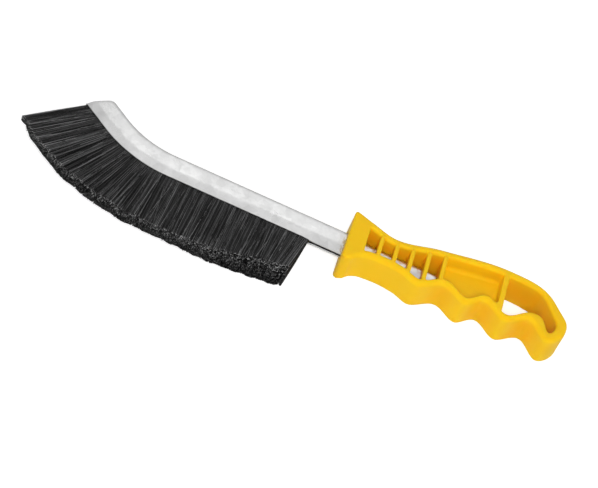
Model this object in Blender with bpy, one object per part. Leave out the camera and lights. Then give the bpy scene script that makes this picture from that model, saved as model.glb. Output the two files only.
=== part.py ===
"""A knife-shaped strip brush with a moulded handle.

Black nylon filaments are folded over a core wire and pinched in a bent steel
channel, whose rear end is the tang inside a one-piece moulded handle.
The brush lies on its side. X runs along the handle towards its butt, Y from
the filament tips towards the back, and Z up. The origin is the middle of the
collar's lower side face. Sizes are in metres and angles in degrees.
"""
import math
import random
from collections import namedtuple

import bmesh
import bpy
from mathutils import Vector

# Handle: thickness, collar, ribs and bays
HANDLE_THICKNESS = 0.0195
COLLAR_LENGTH = 0.0096
RIB_THICKNESS = 0.0021
RIB_COUNT = 5
BAY_WIDTH = 0.0061
PANEL_LENGTH = 0.0293
END_RIB_THICKNESS = 0.0027
RIB_LEAN = 5.0
FRONT_LEAN = 4.0
COLLAR_FOOT = 0.0022
COLLAR_HEAD = 0.0013

# Handle: walls and web
BACK_WALL = 0.0040
HEEL_WALL = 0.0032
BUTT_WALL = 0.0056
LOBE_WALL = 0.0050
WEB_THICKNESS = 0.0026
WEB_FILLET = 0.0022

# Handle: radii of the outer edges, of the rims inside and of the windows'
# corners, with the distances over which they change
BACK_EDGE = 0.0011
FINGER_EDGE = 0.0022
RIB_RIM = 0.0005
FINGER_RIM = 0.0013
BACK_RIM = 0.0018
EDGE_CHANGE = 0.0120
RIM_CHANGE = 0.0012
FILLET_GROWTH = 0.4
BAY_CORNER = 0.0006
PANEL_CORNER = 0.0012
LOOP_CORNER = 0.0012

# Handle: outline, as distances along the handle and heights from its axis
BACK_LINE = ((-0.0052, 0.0153), (0.0040, 0.0128), (0.0180, 0.0092), (0.0400, 0.0147), (0.0760, 0.0206))
BUTT_LINE = ((0.0900, 0.0196), (0.0982, 0.0164), (0.1048, 0.0104), (0.1106, 0.0040), (0.1112, -0.0030),
             (0.1082, -0.0087))
FINGER_LINE = ((-0.0006, -0.0155), (0.0042, -0.0104), (0.0085, -0.0087), (0.0170, -0.0081), (0.0260, -0.0090),
               (0.0350, -0.0118), (0.0481, -0.0051), (0.0597, -0.0102), (0.0692, -0.0036), (0.0809, -0.0097),
               (0.0924, -0.0029), (0.1038, -0.0111))

# Handle: height of the finger wall, as distances along the handle and thicknesses
WALL_LINE = ((0.0, 0.0039), (0.0840, 0.0039), (0.0924, 0.0047), (0.0992, 0.0084), (0.1038, 0.0050))

# Channel: sheet, bend and length in front of the collar
SHEET = 0.0010
STRAIGHT_LENGTH = 0.0927
BEND_RADIUS = 0.0580
BEND_ANGLE = 34.0
TIP_LENGTH = 0.0142
TIP_FAN = 22.0
NECK_LENGTH = 0.0060

# Channel: outside half widths and heights of its cross-section, where it holds
# filaments, where it is bare, and along the tang
BACK_HALF = 0.0040
BACK_CENTRE = 0.0020
FLANK_BEND = -0.0044
LIP_HALF = 0.0023
LIP_HEIGHT = -0.0080
BARE_LIP_HALF = 0.0017
BARE_LIP_HEIGHT = -0.0079
TANG_HALF = 0.0035
TANG_CENTRE = 0.0011
TANG_BEND = -0.0012
TANG_LIP_HALF = 0.0017
TANG_LIP_HEIGHT = -0.0062

# Filaments: where they stand along the channel
BARE_LENGTH = 0.0167
BARE_TIP = 0.0004
LIP_BLEND = 0.0080

# Filaments: the pack's thickness across the tips and the free length, at the
# handle, along the brush and at its tip, with the lengths of the changes
PACK_AT_HANDLE = 0.0172
PACK_ALONG = 0.0082
PACK_AT_TIP = 0.0052
HANDLE_TAPER = 0.0700
TIP_TAPER = 0.0250
LENGTH_AT_HANDLE = 0.0268
LENGTH_ALONG = 0.0328
LENGTH_AT_TIP = 0.0350
HANDLE_TRIM = 0.0500
TIP_TRIM = 0.0450

# Filaments: lean, fan and strands
END_LEAN = 8.0
LEAN_REACH = 0.0220
STRAND_FAN = 11.5
ROOT_STUB = 0.0020
ROOT_WIDTH = 0.0040
NODE_COUNT = 8
COLUMNS = 8
ROWS = 3
STRAND_WIDTH = 0.0007
LENGTH_JITTER = 0.0008
LENGTH_SEED = 11

# Core wire and clearances
WIRE_RADIUS = 0.0007
CLEARANCE = 0.0003

# Points along the outlines and stations along the channel
OUTLINE_STEP = 0.0018
EDGE_STEPS = 3
RIM_STEPS = 2
FILLET_STEPS = 3
CUTTER_SPARE = 0.0050
CORNER_STEPS = 3
SHARP_TURN = 40.0
ARC_REACH = 1.3
FOOT_REACH = 2.2
ARC_POINTS = 5
FOLD_POINTS = 2
BEND_STEP = 3.0
WIRE_SIDES = 10

# A cross-section of the channel: the round back, the bend in the flank and the lip
Section = namedtuple("Section", "back_half back_centre bend_height lip_half lip_height")
FILLED = Section(BACK_HALF, BACK_CENTRE, FLANK_BEND, LIP_HALF, LIP_HEIGHT)
BARE = Section(BACK_HALF, BACK_CENTRE, FLANK_BEND, BARE_LIP_HALF, BARE_LIP_HEIGHT)
TANG = Section(TANG_HALF, TANG_CENTRE, TANG_BEND, TANG_LIP_HALF, TANG_LIP_HEIGHT)

# Finishes: colour, roughness and metallic value
YELLOW_PLASTIC = ((0.93, 0.60, 0.030, 1.0), 0.42, 0.0)
ZINC_COAT = ((0.74, 0.74, 0.73, 1.0), 0.35, 1.0)
DRAWN_WIRE = ((0.70, 0.70, 0.70, 1.0), 0.30, 1.0)
BLACK_NYLON = ((0.020, 0.020, 0.021, 1.0), 0.45, 0.0)


def clear_scene():
    for item in list(bpy.data.objects):
        bpy.data.objects.remove(item, do_unlink=True)


def plain_material(name, finish):
    colour, roughness, metallic = finish
    material = bpy.data.materials.new(name)
    material.use_nodes = True
    shader = material.node_tree.nodes["Principled BSDF"]
    shader.inputs["Base Color"].default_value = colour
    shader.inputs["Roughness"].default_value = roughness
    shader.inputs["Metallic"].default_value = metallic
    return material


def add_object(name, mesh, material):
    mesh.materials.append(material)
    item = bpy.data.objects.new(name, mesh)
    bpy.context.scene.collection.objects.link(item)
    return item


def mesh_from(name, points, faces):
    mesh = bpy.data.meshes.new(name)
    mesh.from_pydata([tuple(point) for point in points], [], faces)
    mesh.validate()
    shape = bmesh.new()
    shape.from_mesh(mesh)
    bmesh.ops.recalc_face_normals(shape, faces=shape.faces)
    shape.to_mesh(mesh)
    shape.free()
    mesh.shade_smooth()
    mesh.set_sharp_from_angle(angle=math.radians(SHARP_TURN))
    return mesh


def smooth(share):
    share = min(max(share, 0.0), 1.0)
    return share * share * (3.0 - 2.0 * share)


def blend(first, second, share):
    return first + (second - first) * share


# Curves

def monotone_slopes(points):
    """Slopes at the points of a height curve, level at every crest and dip."""
    steps = [(b[1] - a[1]) / (b[0] - a[0]) for a, b in zip(points, points[1:])]
    slopes = [steps[0]]
    for before, after in zip(steps, steps[1:]):
        slopes.append(0.0 if before * after <= 0.0 else 2.0 * before * after / (before + after))
    return slopes + [0.0]


def height_at(points, along):
    """Height of the smooth curve through the points."""
    slopes = monotone_slopes(points)
    along = min(max(along, points[0][0]), points[-1][0])
    index = max(i for i in range(len(points) - 1) if along >= points[i][0])
    (x0, y0), (x1, y1) = points[index], points[index + 1]
    span = x1 - x0
    t = (along - x0) / span
    start = (1 + 2 * t) * (1 - t) ** 2 * y0 + t * (1 - t) ** 2 * span * slopes[index]
    end = t * t * (3 - 2 * t) * y1 + t * t * (t - 1) * span * slopes[index + 1]
    return start + end


def height_curve(points, first, last):
    """Points of the smooth curve from one distance to another."""
    count = max(2, round(abs(last - first) / OUTLINE_STEP))
    spots = [blend(first, last, i / count) for i in range(count + 1)]
    return [Vector((x, height_at(points, x))) for x in spots]


def round_curve(points, start_way, end_way):
    """A smooth curve through free points, with its first and last directions."""
    points = [Vector(point) for point in points]
    ways = [(b - a) * 0.5 for a, b in zip(points, points[2:])]
    ways.insert(0, Vector(start_way) * (points[1] - points[0]).length)
    ways.append(Vector(end_way) * (points[-1] - points[-2]).length)
    curve = []
    for i in range(len(points) - 1):
        count = max(2, round((points[i + 1] - points[i]).length / OUTLINE_STEP))
        for j in range(count):
            t = j / count
            curve.append((1 + 2 * t) * (1 - t) ** 2 * points[i] + t * (1 - t) ** 2 * ways[i]
                         + t * t * (3 - 2 * t) * points[i + 1] + t * t * (t - 1) * ways[i + 1])
    return curve + [points[-1]]


def corner_arc(before, corner, after, radius):
    """Points of the arc that rounds a corner."""
    way_in = (before - corner).normalized()
    way_out = (after - corner).normalized()
    half = way_in.angle(way_out) / 2.0
    centre = corner + (way_in + way_out).normalized() * (radius / math.sin(half))
    first = (corner + way_in * (radius / math.tan(half)) - centre).normalized()
    last = (corner + way_out * (radius / math.tan(half)) - centre).normalized()
    return [centre + first.slerp(last, i / CORNER_STEPS) * radius for i in range(CORNER_STEPS + 1)]


# Handle

def collar_start():
    return -COLLAR_LENGTH / 2.0


def front_at(height):
    """Distance along of the collar's leaning front face."""
    return collar_start() - height * math.tan(math.radians(FRONT_LEAN))


def rib_start(index):
    """Distance along, on the handle's axis, where a rib's front face stands."""
    return COLLAR_LENGTH / 2.0 + (index + 1) * BAY_WIDTH + index * RIB_THICKNESS


def panel_start():
    return rib_start(RIB_COUNT - 1) + RIB_THICKNESS


def loop_start():
    return panel_start() + PANEL_LENGTH + END_RIB_THICKNESS


def finger_edge():
    return height_curve(FINGER_LINE, FINGER_LINE[0][0], FINGER_LINE[-1][0])


def butt_edge():
    points = (FINGER_LINE[-1],) + BUTT_LINE[::-1] + (BACK_LINE[-1],)
    return round_curve(points, (1.0, 0.0), (-1.0, 0.0))


def back_edge():
    return height_curve(BACK_LINE, BACK_LINE[-1][0], BACK_LINE[0][0])


def handle_outline():
    """The handle's side view, anticlockwise, with the edge radius at each point."""
    lower = finger_edge()
    upper = back_edge()
    foot = Vector((front_at(lower[0].y), lower[0].y))
    head = Vector((front_at(upper[-1].y), upper[-1].y))
    lower = [point for point in lower if point.x > foot.x + FOOT_REACH * COLLAR_FOOT]
    upper = [point for point in upper if point.x > head.x + ARC_REACH * COLLAR_HEAD]
    foot_arc = corner_arc(head, foot, lower[0], COLLAR_FOOT)
    head_arc = corner_arc(upper[-1], head, foot, COLLAR_HEAD)
    points = refine(foot_arc + lower + butt_edge()[1:] + upper[1:] + head_arc)
    return points, [blend(BACK_EDGE, FINGER_EDGE, finger_share(point)) for point in points]


def finger_share(point):
    """1 on the finger side and 0 on the back and the collar's front, with soft changes."""
    along = smooth((point.x - collar_start()) / COLLAR_LENGTH)
    return along * smooth(0.5 - point.y / EDGE_CHANGE)


def butt_wall_at(share):
    """Wall thickness along the butt curve, from the lobe round to the back."""
    walls = (LOBE_WALL, BUTT_WALL, HEEL_WALL, BACK_WALL)
    place = share * (len(walls) - 1)
    index = min(int(place), len(walls) - 2)
    return blend(walls[index], walls[index + 1], place - index)


def inner_outline():
    """The hollow inside the handle's walls, before ribs and web divide it."""
    inner = [point + Vector((0.0, height_at(WALL_LINE, point.x))) for point in finger_edge()[1:-1]]
    curve = butt_edge()
    for i in range(1, len(curve) - 1):
        way = (curve[i + 1] - curve[i - 1]).normalized()
        wall = butt_wall_at(i / (len(curve) - 1))
        inner.append(curve[i] + Vector((-way.y, way.x)) * wall)
    return inner + [point - Vector((0.0, BACK_WALL)) for point in back_edge()]


def rim_at(point):
    """Radius of a window's edge: soft along the back and finger walls, crisp along the ribs."""
    roof = height_at(BACK_LINE, point.x) - BACK_WALL
    floor = height_at(FINGER_LINE, point.x) + height_at(WALL_LINE, point.x)
    if point.x > BUTT_LINE[0][0]:
        return blend(FINGER_RIM, BACK_RIM, smooth((point.y - floor) / (roof - floor)))
    rim = blend(BACK_RIM, RIB_RIM, smooth((roof - point.y) / RIM_CHANGE))
    return blend(FINGER_RIM, rim, smooth((point.y - floor) / RIM_CHANGE))


def clip(points, limit, keep_above):
    """Cut a closed outline along a rib's leaning face."""
    lean = math.tan(math.radians(RIB_LEAN))
    kept = []
    for a, b in zip(points, points[1:] + points[:1]):
        side_a = (a.x + a.y * lean - limit) * (1 if keep_above else -1)
        side_b = (b.x + b.y * lean - limit) * (1 if keep_above else -1)
        if side_a >= 0.0:
            kept.append(a)
        if side_a * side_b < 0.0:
            kept.append(a + (b - a) * (side_a / (side_a - side_b)))
    return kept


def neighbours(points):
    """Each point of a closed outline with the one before and the one after."""
    return zip(points[-1:] + points[:-1], points, points[1:] + points[:1])


def sharp_corners(points):
    """The corners of a closed outline, and how far each turns."""
    corners = {}
    for before, point, after in neighbours(points):
        turn = (point - before).angle(after - point, 0.0)
        if turn > math.radians(SHARP_TURN):
            corners[tuple(point)] = turn
    return corners


def round_corners(points, radius):
    """Round a closed outline's corners, and drop the points that crowd them."""
    corners = sharp_corners(points)
    reach = {corner: ARC_REACH * radius * math.tan(turn / 2.0) for corner, turn in corners.items()}
    kept = []
    for point in points:
        crowded = any((point - Vector(corner)).length < reach[corner] for corner in corners)
        if tuple(point) in corners or not crowded:
            kept.append(point)
    rounded = []
    for before, point, after in neighbours(kept):
        rounded += corner_arc(before, point, after, radius) if tuple(point) in corners else [point]
    return rounded


def refine(points):
    """Add points along the straight stretches of a closed outline."""
    fine = []
    for a, b in zip(points, points[1:] + points[:1]):
        count = max(1, round((b - a).length / OUTLINE_STEP))
        fine += [a.lerp(b, i / count) for i in range(count)]
    return fine


def offset(points, distances):
    """Move each point of a closed anticlockwise outline outwards by its distance."""
    moved = []
    for (before, point, after), distance in zip(neighbours(points), distances):
        way_in = (point - before).normalized()
        way_out = (after - point).normalized()
        aside = Vector((way_in.y + way_out.y, -way_in.x - way_out.x)).normalized()
        moved.append(point + aside * (distance / math.cos(way_in.angle(way_out) / 2.0)))
    return moved


def bay_shape(first, last):
    """The part of the hollow between two ribs."""
    kept = clip(inner_outline(), first, True)
    return kept if last is None else clip(kept, last, False)


def bay_outline(first, last, radius):
    """The outline of a window with round corners, and the rim radius at each point."""
    points = refine(round_corners(bay_shape(first, last), radius))
    return points, [rim_at(point) for point in points]


def ring_at(points, radii, height, out, up):
    """The outline moved out and up by shares of the radius at each point."""
    moved = offset(points, [out * radius for radius in radii])
    return [(point.x, point.y, height + up * radius) for point, radius in zip(moved, radii)]


def edge_rings(outline, height, out, up, count):
    """Rings round an edge, from the face to the wall."""
    points, radii = outline
    turns = [math.pi / 2.0 * i / count for i in range(count + 1)]
    return [ring_at(points, radii, height, out * (1.0 - math.sin(turn)), up * (1.0 - math.cos(turn)))
            for turn in turns]


def loft(name, rings):
    """A closed body through rings of as many points each, with flat ends."""
    count = len(rings[0])
    points = [point for ring in rings for point in ring]
    last = len(points) - count
    faces = [tuple(range(count - 1, -1, -1)), tuple(range(last, last + count))]
    for start in range(0, last, count):
        for i in range(count):
            j = (i + 1) % count
            faces.append((start + i, start + j, start + count + j, start + count + i))
    return mesh_from(name, points, faces)


def add_cutter(name, mesh):
    cutter = bpy.data.objects.new(name, mesh)
    bpy.context.scene.collection.objects.link(cutter)
    cutter.display_type = "WIRE"
    cutter.hide_render = True
    cutter.hide_viewport = True
    return cutter


def add_cut(item, cutter):
    cut = item.modifiers.new(cutter.name, "BOOLEAN")
    cut.operation = "DIFFERENCE"
    cut.solver = "EXACT"
    cut.object = cutter


def through_cutter(outline):
    """A cutter that opens both faces and rounds their edges."""
    points, radii = outline
    lower = edge_rings(outline, 0.0, 1.0, 1.0, RIM_STEPS)
    upper = edge_rings(outline, HANDLE_THICKNESS, 1.0, -1.0, RIM_STEPS)
    below = ring_at(points, radii, -CUTTER_SPARE, 1.0, 0.0)
    above = ring_at(points, radii, HANDLE_THICKNESS + CUTTER_SPARE, 1.0, 0.0)
    return loft("window_cutter", [below] + lower + upper[::-1] + [above])


def cut_bays(handle):
    """Open the five bays and the end loop right through the handle."""
    for i in range(RIB_COUNT):
        outline = bay_outline(rib_start(i) - BAY_WIDTH, rib_start(i), BAY_CORNER)
        add_cut(handle, add_cutter("bay_cutter_%d" % (i + 1), through_cutter(outline)))
    outline = bay_outline(loop_start(), None, LOOP_CORNER)
    add_cut(handle, add_cutter("loop_cutter", through_cutter(outline)))


def fillets_at(points, corners):
    """Radius between web and wall at each point, smaller near the panel's corners."""
    near = [min((point - Vector(corner)).length for corner in corners) for point in points]
    return [min(WEB_FILLET, FILLET_GROWTH * (distance + PANEL_CORNER)) for distance in near]


def cut_panels(handle):
    """Sink the label panel from both sides and leave the web between."""
    first, last = panel_start(), panel_start() + PANEL_LENGTH
    outline = bay_outline(first, last, PANEL_CORNER)
    points, radii = outline
    fillets = fillets_at(points, sharp_corners(bay_shape(first, last)))
    for name, face, way in (("upper", HANDLE_THICKNESS, 1.0), ("lower", 0.0, -1.0)):
        floor = (HANDLE_THICKNESS + way * WEB_THICKNESS) / 2.0
        rings = edge_rings((points, fillets), floor, -1.0, way, FILLET_STEPS)
        rings += edge_rings(outline, face, 1.0, -way, RIM_STEPS)[::-1]
        rings.append(ring_at(points, radii, face + way * CUTTER_SPARE, 1.0, 0.0))
        add_cut(handle, add_cutter("panel_cutter_" + name, loft("panel_cutter", rings)))


def make_handle(material):
    outline = handle_outline()
    lower = edge_rings(outline, 0.0, -1.0, 1.0, EDGE_STEPS)
    upper = edge_rings(outline, HANDLE_THICKNESS, -1.0, -1.0, EDGE_STEPS)
    handle = add_object("handle", loft("handle", lower + upper[::-1]), material)
    cut_bays(handle)
    cut_panels(handle)
    add_cut(handle, add_cutter("socket_cutter", socket_mesh()))
    return handle


# Channel path

Station = namedtuple("Station", "centre tilt stretch section")


def tang_end():
    """The tang stops just short of the last rib of the row."""
    return rib_start(RIB_COUNT - 1) - math.tan(math.radians(RIB_LEAN)) * TANG.back_half - CLEARANCE


def path_point(run):
    """Place and direction of the channel at a run forwards of the collar's front."""
    angle = math.radians(BEND_ANGLE)
    start = collar_start() - STRAIGHT_LENGTH
    bent = run - STRAIGHT_LENGTH
    if bent <= 0.0:
        return Vector((collar_start() - run, 0.0)), 0.0
    turned = min(bent / BEND_RADIUS, angle)
    place = Vector((start - BEND_RADIUS * math.sin(turned), BEND_RADIUS * (1.0 - math.cos(turned))))
    rest = max(bent - BEND_RADIUS * angle, 0.0)
    return place + Vector((-math.cos(turned), math.sin(turned))) * rest, turned


def front_run():
    """Run from the collar to the channel's tip."""
    return STRAIGHT_LENGTH + BEND_RADIUS * math.radians(BEND_ANGLE) + TIP_LENGTH


def fan_share(run):
    """0 before the bend's end, rising to 1 at the channel's tip."""
    return smooth((run - front_run() + 2.0 * TIP_LENGTH) / (2.0 * TIP_LENGTH))


def mix(first, second, share):
    return Section(*(blend(a, b, share) for a, b in zip(first, second)))


def section_at(run):
    """The channel's cross-section: filled, bare, then necked down to the tang."""
    if run > 0.0:
        return mix(BARE, FILLED, smooth((run - BARE_LENGTH + LIP_BLEND / 2.0) / LIP_BLEND))
    return mix(BARE, TANG, smooth((-run - SHEET) / NECK_LENGTH))


def station(run):
    centre, turned = path_point(run)
    fan = math.radians(TIP_FAN) * fan_share(run)
    return Station(centre, turned + fan, 1.0 / math.cos(fan), section_at(run))


def place_on(spot, height, across):
    """A point of a cross-section in space."""
    reach = height * spot.stretch
    return Vector((spot.centre.x + math.sin(spot.tilt) * reach, spot.centre.y + math.cos(spot.tilt) * reach,
                   HANDLE_THICKNESS / 2.0 + across))


def runs_between(first, last):
    """Runs of the stations: close in the bend and the necks, far apart where it is straight."""
    marks = [first, last, 0.0, -SHEET, -SHEET - NECK_LENGTH / 2.0, -SHEET - NECK_LENGTH, STRAIGHT_LENGTH]
    marks += [BARE_LENGTH + LIP_BLEND * share for share in (-0.5, -0.2, 0.2, 0.5)]
    bend = BEND_RADIUS * math.radians(BEND_ANGLE)
    count = math.ceil(BEND_ANGLE / BEND_STEP)
    marks += [STRAIGHT_LENGTH + bend * i / count for i in range(1, count + 1)]
    marks += [front_run() - TIP_LENGTH * i / 4.0 for i in range(4)]
    return sorted({round(run, 6) for run in marks if first <= run <= last})


def quarter_round(radius, centre, count):
    """Half widths and heights of a quarter circle, from its top to its side."""
    turns = [math.pi / 2.0 * i / count for i in range(count + 1)]
    return [(radius * math.sin(turn), centre + radius * math.cos(turn)) for turn in turns]


def channel_outline(section, inset):
    """Half widths and heights down one flank, from the back to the lip."""
    half = section.back_half - inset
    points = quarter_round(half, section.back_centre, ARC_POINTS)
    return points + [(half, section.bend_height), (section.lip_half - inset, section.lip_height)]


def both_flanks(points):
    """The far flank, lip to back, then the near flank, back to lip."""
    return [(-across, height) for across, height in points[::-1]] + points[1:]


def sweep_strip(name, spots, outer_of, inner_of):
    """Sweep a folded strip of sheet along the stations and close its ends."""
    points = []
    for spot in spots:
        for across, height in outer_of(spot.section) + inner_of(spot.section):
            points.append(place_on(spot, height, across))
    ring = len(points) // len(spots)
    half = ring // 2
    faces = []
    for k in range(len(spots) - 1):
        here, there = k * ring, (k + 1) * ring
        for i in range(half - 1):
            faces.append((here + i, here + i + 1, there + i + 1, there + i))
            faces.append((here + half + i, there + half + i, there + half + i + 1, here + half + i + 1))
        for i, j in ((0, half), (half - 1, ring - 1)):
            faces.append((here + i, there + i, there + j, here + j))
    for start in (0, (len(spots) - 1) * ring):
        for i in range(half - 1):
            faces.append((start + i, start + i + 1, start + half + i + 1, start + half + i))
    return mesh_from(name, points, faces)


def sweep_solid(name, spots, outline_of):
    """Sweep a closed outline along the stations and cap its ends."""
    return loft(name, [[place_on(spot, height, across) for across, height in outline_of(spot.section)]
                       for spot in spots])


def make_channel(material):
    spots = [station(run) for run in runs_between(collar_start() - tang_end(), front_run())]
    mesh = sweep_strip("channel", spots, lambda s: both_flanks(channel_outline(s, 0.0)),
                       lambda s: both_flanks(channel_outline(s, SHEET)))
    return add_object("channel", mesh, material)


def socket_mesh():
    """The room that the tang and the collar's end of the channel take in the handle."""
    first = collar_start() - tang_end() - CLEARANCE
    spots = [station(run) for run in runs_between(first, COLLAR_LENGTH / 2.0)]

    def outline_of(section):
        wide = section._replace(back_half=section.back_half + CLEARANCE,
                                lip_half=section.lip_half + CLEARANCE,
                                lip_height=section.lip_height - CLEARANCE)
        return both_flanks(channel_outline(wide, 0.0))

    return sweep_solid("socket_cutter", spots, outline_of)


# Core wire

def make_wire(material):
    first = BARE_LENGTH + CLEARANCE
    spots = [station(run) for run in runs_between(first, front_run() - CLEARANCE)]

    def outline_of(section):
        turns = [2.0 * math.pi * i / WIRE_SIDES for i in range(WIRE_SIDES)]
        return [(WIRE_RADIUS * math.sin(turn), section.back_centre + WIRE_RADIUS * math.cos(turn))
                for turn in turns]

    return add_object("core_wire", sweep_solid("core_wire", spots, outline_of), material)


# Filaments

def along_pack(run, at_handle, along, at_tip, handle_reach, tip_reach):
    """A size that changes from the pack's handle end to its middle, and on to its tip."""
    from_handle = blend(at_handle, along, smooth((run - BARE_LENGTH) / handle_reach))
    return blend(from_handle, at_tip, smooth((run - front_run() + tip_reach) / tip_reach))


def pack_half_at(run):
    """Half the pack's thickness at the filaments' tips."""
    return along_pack(run, PACK_AT_HANDLE, PACK_ALONG, PACK_AT_TIP, HANDLE_TAPER, TIP_TAPER) / 2.0


def length_at(run):
    """Free length of the filaments."""
    return along_pack(run, LENGTH_AT_HANDLE, LENGTH_ALONG, LENGTH_AT_TIP, HANDLE_TRIM, TIP_TRIM)


def strand_tilt_at(run):
    """Filaments stand square to the channel, lean at the rear end and fan out at the tip."""
    lean = END_LEAN * (1.0 - smooth((run - BARE_LENGTH) / LEAN_REACH))
    return path_point(run)[1] + math.radians(lean + STRAND_FAN * fan_share(run))


def fold_outline(section):
    """Outside of the folded filaments: over the wire, through the lips and out."""
    room = SHEET + CLEARANCE
    half = section.back_half - room
    points = quarter_round(half, section.back_centre, FOLD_POINTS)
    return points + [(half, section.bend_height), (section.lip_half - room, section.lip_height),
                     (ROOT_WIDTH / 2.0, section.lip_height - ROOT_STUB)]


def fold_hollow(section):
    """Inside of the folded filaments: round the wire and down the slit between the legs."""
    hole = WIRE_RADIUS + CLEARANCE
    slit = CLEARANCE / 2.0
    top = section.back_centre - hole * math.sqrt(2.0)
    foot = section.lip_height - ROOT_STUB
    points = quarter_round(hole, section.back_centre, FOLD_POINTS)
    return points + [(slit, top), (slit, (top + foot) / 2.0), (slit, foot)]


def fold_section(section):
    """A slice of the folded filaments, with the rows' edges across both legs' feet."""
    outer = both_flanks(fold_outline(section))
    hollow = both_flanks(fold_hollow(section))
    feet = []
    for out, hole in ((outer[0], hollow[0]), (outer[-1], hollow[-1])):
        feet += [(blend(out[0], hole[0], row / ROWS), out[1]) for row in range(1, ROWS)]
    return outer + hollow + feet


def strand_tip(run, row_share, side, draw):
    """Where a filament ends: on the trim line, fanned out across the pack."""
    spot = station(run)
    tilt = strand_tilt_at(run)
    length = length_at(run) - LENGTH_JITTER * draw
    lip = place_on(spot, spot.section.lip_height, 0.0)
    across = side * row_share * (pack_half_at(run) - STRAND_WIDTH / 2.0)
    return lip + Vector((-math.sin(tilt) * length, -math.cos(tilt) * length, across))


def add_strand(points, faces, root, tip, tilt):
    """A four-sided filament from four root corners to its square tip."""
    along = Vector((-math.cos(tilt), math.sin(tilt), 0.0)) * (STRAND_WIDTH / 2.0)
    up = Vector((0.0, 0.0, STRAND_WIDTH / 2.0))
    start = len(points)
    points += [tip - along - up, tip + along - up, tip + along + up, tip - along + up]
    for i in range(4):
        j = (i + 1) % 4
        faces.append((root[i], root[j], start + j, start + i))
    faces.append((start, start + 1, start + 2, start + 3))


def fold_faces(here, there, half):
    """The outside and the inside of the folded filaments between two slices."""
    faces = []
    for i in range(half - 1):
        j = half + i
        faces.append((here + i, here + i + 1, there + i + 1, there + i))
        faces.append((here + j, there + j, there + j + 1, here + j + 1))
    return faces


def cap_faces(start, half, feet):
    """The end of the folded filaments at one slice."""
    faces = [(start + i, start + i + 1, start + half + i + 1, start + half + i) for i in range(1, half - 2)]
    faces.append((start + 1, start + half + 1, *(start + i for i in reversed(feet[0]))))
    faces.append((start + half - 2, *(start + i for i in feet[1]), start + 2 * half - 2))
    return faces


def add_row_pair(points, faces, here, there, run, feet, rng):
    """The filaments of one column, on both legs, from the outer row to the inner."""
    for foot, side in zip(feet, (-1.0, 1.0)):
        for row in range(ROWS):
            root = (here + foot[row], there + foot[row], there + foot[row + 1], here + foot[row + 1])
            share = 1.0 - row / (ROWS - 0.5)
            tip = strand_tip(run, share, side, rng.random())
            add_strand(points, faces, root if side < 0.0 else root[::-1], tip, strand_tilt_at(run))


def filament_mesh(name, first, last, rng):
    """A length of folded filaments with its strands, as one closed body."""
    edges = [blend(first, last, i / COLUMNS) for i in range(COLUMNS + 1)]
    points = []
    for spot in [station(run) for run in edges]:
        points += [place_on(spot, height, across) for across, height in fold_section(spot.section)]
    ring = len(points) // (COLUMNS + 1)
    half = (ring - 2 * (ROWS - 1)) // 2
    feet = ([0, *range(2 * half, 2 * half + ROWS - 1), half],
            [half - 1, *range(2 * half + ROWS - 1, ring), 2 * half - 1])
    faces = cap_faces(0, half, feet) + cap_faces(COLUMNS * ring, half, feet)
    for k in range(COLUMNS):
        faces += fold_faces(k * ring, (k + 1) * ring, half)
        run = (edges[k] + edges[k + 1]) / 2.0
        add_row_pair(points, faces, k * ring, (k + 1) * ring, run, feet, rng)
    return mesh_from(name, points, faces)


def make_filaments(material):
    rng = random.Random(LENGTH_SEED)
    first, last = BARE_LENGTH, front_run() - BARE_TIP
    pitch = (last - first) / NODE_COUNT
    for i in range(NODE_COUNT):
        start = first + i * pitch + CLEARANCE / 2.0
        end = first + (i + 1) * pitch - CLEARANCE / 2.0
        name = "filaments_%d" % (i + 1)
        add_object(name, filament_mesh(name, start, end, rng), material)


def main():
    clear_scene()
    make_handle(plain_material("yellow plastic", YELLOW_PLASTIC))
    make_channel(plain_material("galvanised steel", ZINC_COAT))
    make_wire(plain_material("drawn wire", DRAWN_WIRE))
    make_filaments(plain_material("black nylon", BLACK_NYLON))


main()
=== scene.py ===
"""Looks of a knife-shaped strip brush, laid out as an add-on and run as a script.

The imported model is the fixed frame: a moulded handle, a bent steel channel, a
core wire and eight groups of folded filaments. Each gets a finely made piece
in the same place, with its own procedural finish, on a pale studio floor.
X runs along the handle towards its butt, Y from the filament tips towards the
back, and Z up. Sizes are in metres.
"""
import math
from collections import namedtuple

import bmesh
import bpy
from mathutils import Matrix, Vector


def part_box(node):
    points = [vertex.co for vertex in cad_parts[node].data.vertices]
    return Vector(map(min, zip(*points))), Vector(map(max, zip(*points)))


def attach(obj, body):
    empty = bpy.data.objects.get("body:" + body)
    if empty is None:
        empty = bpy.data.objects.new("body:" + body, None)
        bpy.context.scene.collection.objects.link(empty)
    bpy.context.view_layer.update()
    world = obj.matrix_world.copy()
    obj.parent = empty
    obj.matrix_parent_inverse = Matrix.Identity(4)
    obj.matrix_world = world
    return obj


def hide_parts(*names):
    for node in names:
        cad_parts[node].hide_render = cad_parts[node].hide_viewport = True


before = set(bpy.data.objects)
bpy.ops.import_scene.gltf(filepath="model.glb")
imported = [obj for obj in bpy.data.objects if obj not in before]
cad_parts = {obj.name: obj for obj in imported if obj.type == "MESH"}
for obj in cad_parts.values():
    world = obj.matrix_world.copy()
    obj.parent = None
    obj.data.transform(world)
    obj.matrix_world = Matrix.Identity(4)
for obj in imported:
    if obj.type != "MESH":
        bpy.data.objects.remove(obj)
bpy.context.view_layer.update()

bl_info = {
    "name": "Knife-shaped strip brush",
    "version": (1, 0, 0),
    "blender": (4, 5, 0),
    "location": "View3D > Sidebar > Strip brush",
    "description": "Makes the handle, channel, core wire, filaments and stage around the packed model",
    "category": "Object",
}

GROUPS = sorted(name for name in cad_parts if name.startswith("filaments_"))
HANDLE_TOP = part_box("handle")[1].z

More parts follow.
